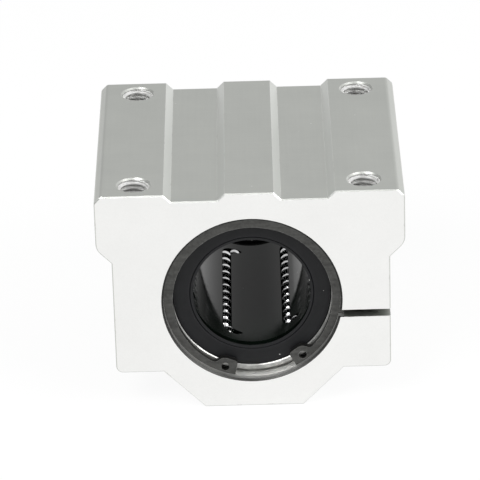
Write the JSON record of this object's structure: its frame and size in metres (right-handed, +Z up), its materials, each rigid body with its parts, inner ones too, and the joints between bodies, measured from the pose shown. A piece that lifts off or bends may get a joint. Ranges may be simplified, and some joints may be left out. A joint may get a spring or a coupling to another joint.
{
  "type": "linear bearing block",
  "caption": "Flanged aluminium block with a closed linear ball bearing for a 30 mm shaft, held by internal retaining rings, with tapped mounting holes.",
  "frame": {"origin": "centre of the shaft bore, half way along the block", "axes": "+Z up out of the mounting face, +Y along the shaft towards the rear end, +X towards the side with the clamping slit"},
  "size_m": [0.078, 0.072, 0.06],
  "materials": {
    "housing": "satin, lightly milled",
    "retaining_ring": "dark phosphated spring steel",
    "sleeve": "ground",
    "cage": "glossy moulded",
    "seal": "matt moulded",
    "end_ring": "pressed",
    "ball": "polished"
  },
  "bodies": {
    "root": {"housing_block": "housing", "front_retaining_ring": "retaining_ring", "rear_retaining_ring": "retaining_ring", "bearing_sleeve": "sleeve", "ball_retainer": "cage", "front_seal": "seal", "rear_seal": "seal", "front_end_ring": "end_ring", "rear_end_ring": "end_ring", "loaded_balls_1": "ball", "return_balls_1": "ball", "loaded_balls_2": "ball", "return_balls_2": "ball", "loaded_balls_3": "ball", "return_balls_3": "ball", "loaded_balls_4": "ball", "return_balls_4": "ball", "loaded_balls_5": "ball", "return_balls_5": "ball", "loaded_balls_6": "ball", "return_balls_6": "ball"}
  },
  "joints": []
}
